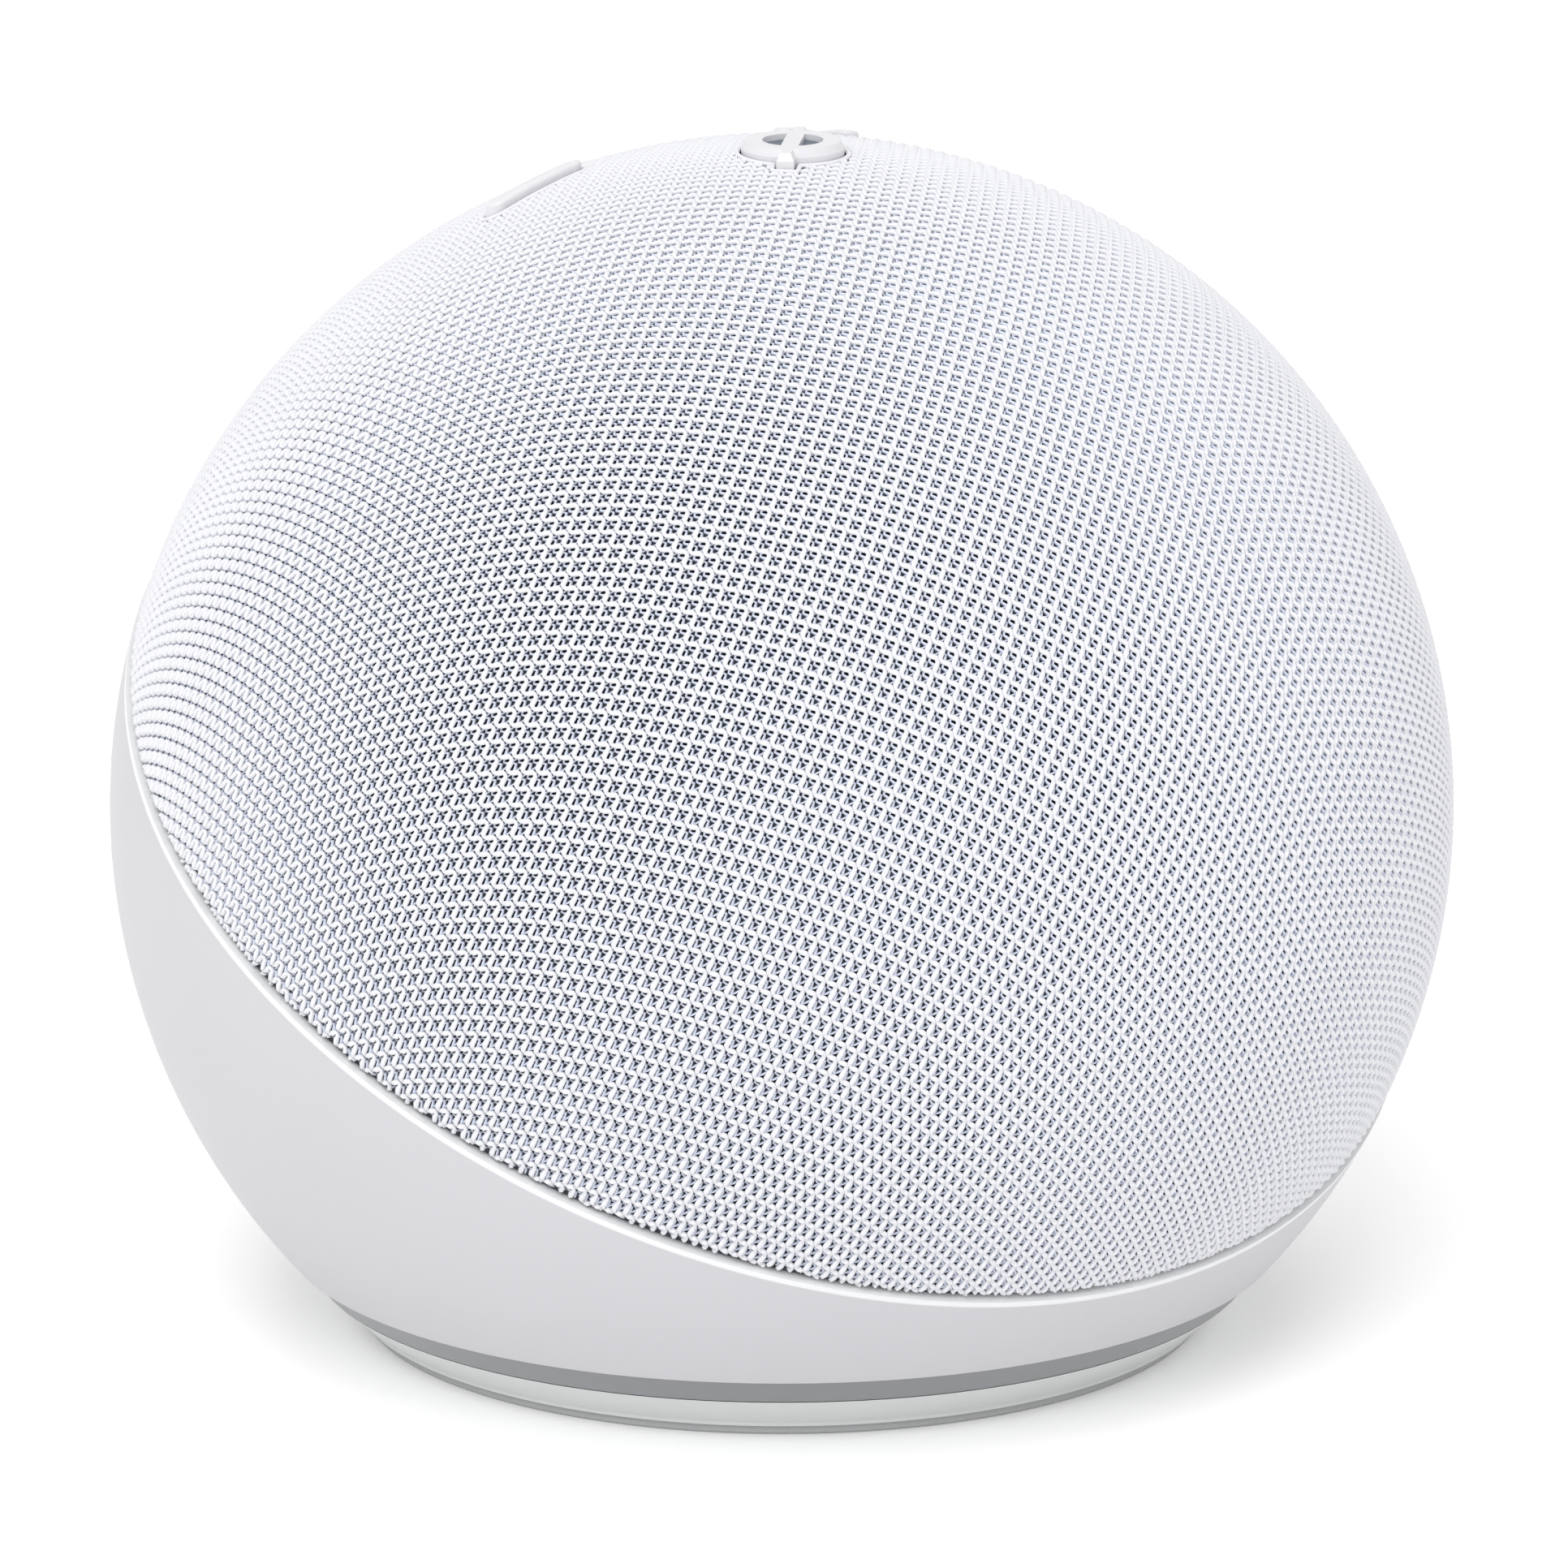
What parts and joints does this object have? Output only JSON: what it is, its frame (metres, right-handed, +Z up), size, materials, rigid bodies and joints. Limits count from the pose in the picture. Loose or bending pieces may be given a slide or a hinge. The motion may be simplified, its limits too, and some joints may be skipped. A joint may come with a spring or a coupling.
{
  "type": "smart speaker",
  "caption": "Ball-shaped smart speaker: knitted fabric dome over a smooth leaning plastic shell, light ring at the base and raised icon buttons on top.",
  "frame": {"origin": "on the table under the ball's centre", "axes": "+Z up, -Y towards the fabric front, +Y out of the sockets at the back, +X to the right seen from the front"},
  "size_m": [0.1002, 0.1002, 0.0897],
  "materials": {
    "knit": "knitted polyester yarn, matt",
    "shell_white": "fine matt moulded plastic",
    "inner_plastic": "black moulded plastic",
    "light_ring": "frosted translucent plastic, unlit",
    "base_grey": "light grey moulded plastic",
    "foot_rubber": "soft grey rubber",
    "button_white": "smooth white plastic",
    "window_grey": "smoked translucent plastic",
    "circuit_board": "green solder resist",
    "component_black": "moulded component body",
    "component_metal": "tinned pressed metal",
    "lamp": "clear lamp package",
    "cast_metal": "die cast, as cast",
    "pad_soft": "soft silicone pad",
    "screw_steel": "zinc plated",
    "frame_steel": "black coated pressed steel",
    "magnet": "sintered ferrite",
    "copper": "enamelled copper wire on a kapton former",
    "cone_paper": "pressed cone, matt black",
    "soft_black": "soft black rubber",
    "foam_black": "closed cell foam",
    "spider_cloth": "resin treated cloth",
    "wire_red": "soft wire insulation",
    "ribbon": "polyimide film",
    "socket_black": "moulded socket"
  },
  "bodies": {
    "housing": {"knit_cover": "knit", "grille_dome": "inner_plastic", "rear_shell": "shell_white", "dome_screws": "screw_steel", "light_ring": "light_ring", "base_plate": "base_grey", "foot_pad": "foot_rubber", "base_screws": "screw_steel", "led_board": "circuit_board", "led_chips": "lamp", "led_ribbon": "ribbon", "heat_spreader": "cast_metal", "thermal_pad": "pad_soft", "main_board": "circuit_board", "main_board_screws": "screw_steel", "board_shields": "component_metal", "board_chips": "component_black", "power_parts": "component_metal", "power_jack": "socket_black", "audio_jack": "socket_black", "wifi_antennas": "circuit_board", "board_connectors": "component_black", "baffle": "inner_plastic", "chamber": "inner_plastic", "chamber_gasket": "foam_black", "chamber_screws": "screw_steel", "wire_grommet": "soft_black", "driver_basket": "frame_steel", "driver_gasket": "foam_black", "driver_screws": "screw_steel", "driver_top_plate": "screw_steel", "driver_magnet": "magnet", "driver_yoke": "screw_steel", "surround": "soft_black", "spider": "spider_cloth", "speaker_terminals": "circuit_board", "speaker_wires": "wire_red", "button_board": "circuit_board", "button_carrier": "inner_plastic", "button_board_screws": "screw_steel", "tact_switches": "component_black", "microphones": "component_metal", "top_ribbon": "ribbon"},
    "driver_moving_parts": {"driver_cone": "cone_paper", "dust_cap": "cone_paper", "voice_coil": "copper"},
    "mic_off_key": {"mic_off_button": "button_white", "mic_off_windows": "window_grey"},
    "volume_down_key": {"volume_down_button": "button_white"},
    "volume_up_key": {"volume_up_button": "button_white"},
    "action_key": {"action_button": "button_white"}
  },
  "joints": [
    {"name": "cone_excursion", "type": "slide", "parent": "housing", "child": "driver_moving_parts", "axis": [0, -0.8829, 0.4695], "range_m": [-0.0015, 0.0015], "stiffness_N_per_m": 900, "deforming": ["surround", "spider"]},
    {"name": "mic_off_press", "type": "slide", "parent": "housing", "child": "mic_off_key", "axis": [0, 0, -1], "range_m": [0, 0.0004], "stiffness_N_per_m": 3000, "springref_m": -0.0003},
    {"name": "volume_down_press", "type": "slide", "parent": "housing", "child": "volume_down_key", "axis": [0, 0, -1], "range_m": [0, 0.0004], "stiffness_N_per_m": 3000, "springref_m": -0.0003},
    {"name": "volume_up_press", "type": "slide", "parent": "housing", "child": "volume_up_key", "axis": [0, 0, -1], "range_m": [0, 0.0004], "stiffness_N_per_m": 3000, "springref_m": -0.0003},
    {"name": "action_press", "type": "slide", "parent": "housing", "child": "action_key", "axis": [0, 0, -1], "range_m": [0, 0.0004], "stiffness_N_per_m": 3000, "springref_m": -0.0003}
  ]
}
